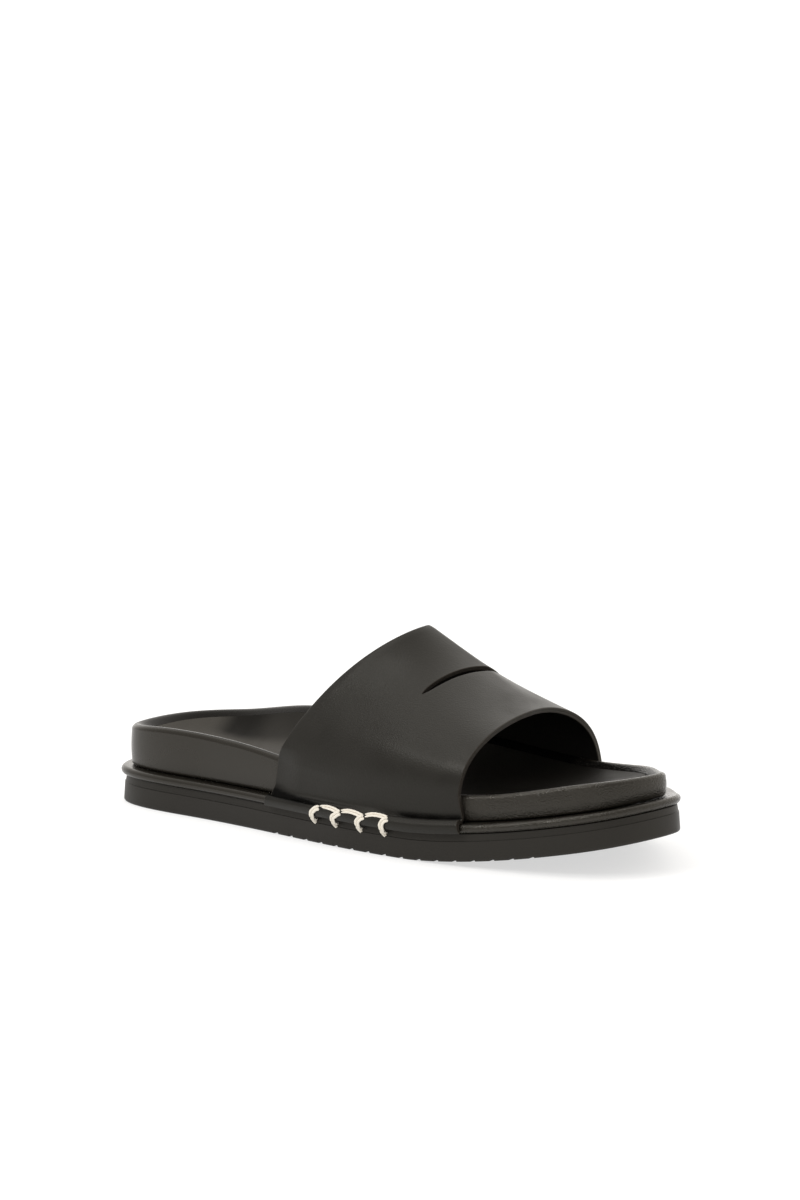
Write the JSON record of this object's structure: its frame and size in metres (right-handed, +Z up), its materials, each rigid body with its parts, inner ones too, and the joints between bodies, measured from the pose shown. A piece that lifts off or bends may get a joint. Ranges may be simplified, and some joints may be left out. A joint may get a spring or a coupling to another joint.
{
  "type": "slide sandal",
  "caption": "Slide sandal for the right foot: a wide slit leather strap over a thick contoured footbed with a rolled leather rim and a grooved rubber sole.",
  "frame": {"origin": "on the ground, under the centre of the sandal's bounding box", "axes": "+X to the toe, +Y to the inner side of the right foot, +Z up"},
  "size_m": [0.2814, 0.107, 0.0884],
  "materials": {
    "outsole_rubber": "matt black moulded rubber",
    "footbed_leather": "black leather with a fine pebbled grain, soft sheen",
    "insole_leather": "black lining leather, low sheen",
    "strap_leather": "smooth black leather, satin, with cut edges",
    "stitch_thread": "thick waxed off-white thread"
  },
  "bodies": {
    "root": {"outsole": "outsole_rubber", "rim": "footbed_leather", "footbed": "footbed_leather", "insole": "insole_leather", "upper": "strap_leather"}
  },
  "joints": []
}
